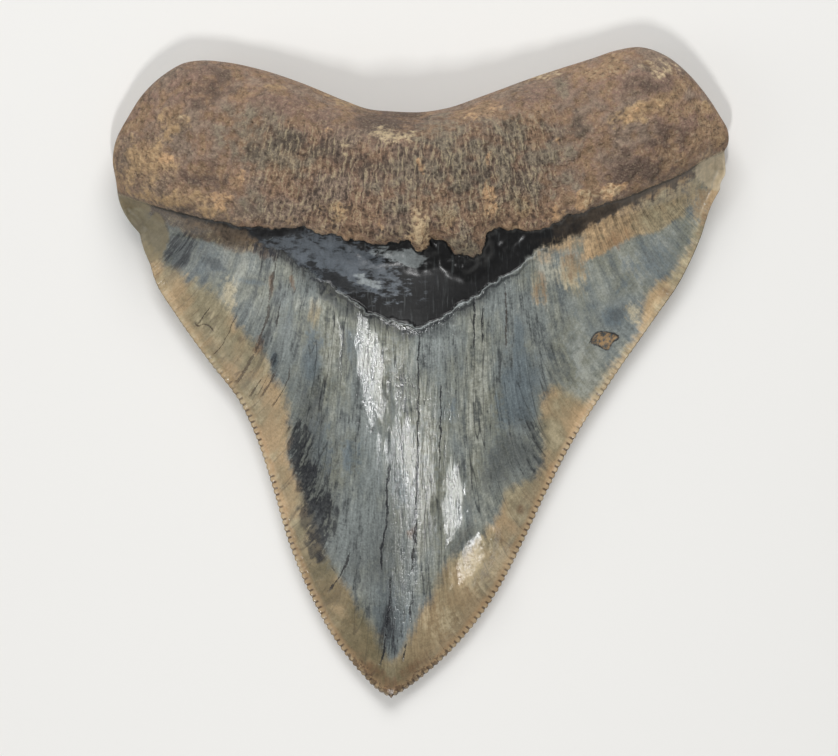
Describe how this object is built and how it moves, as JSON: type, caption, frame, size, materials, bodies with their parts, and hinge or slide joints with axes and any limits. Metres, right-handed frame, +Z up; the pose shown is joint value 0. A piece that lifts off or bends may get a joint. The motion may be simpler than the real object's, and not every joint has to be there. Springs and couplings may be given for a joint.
{
  "type": "fossil shark tooth",
  "caption": "Large triangular fossil shark tooth with serrated cutting edges, a dark dental band and a two-lobed bony root, lying flat.",
  "frame": {"origin": "middle of the bounding box in plan, on the surface that the tooth rests on", "axes": "+Z up from the surface it lies on, out of the tongue side; +Y from the tip towards the root; +X to the right with the tongue side seen and the root at the top"},
  "size_m": [0.1234, 0.1307, 0.0285],
  "materials": {
    "fossil_tooth": "glossy grey-tan enamel, satin black band, rough brown root"
  },
  "bodies": {
    "root": {"tooth": "fossil_tooth"}
  },
  "joints": []
}
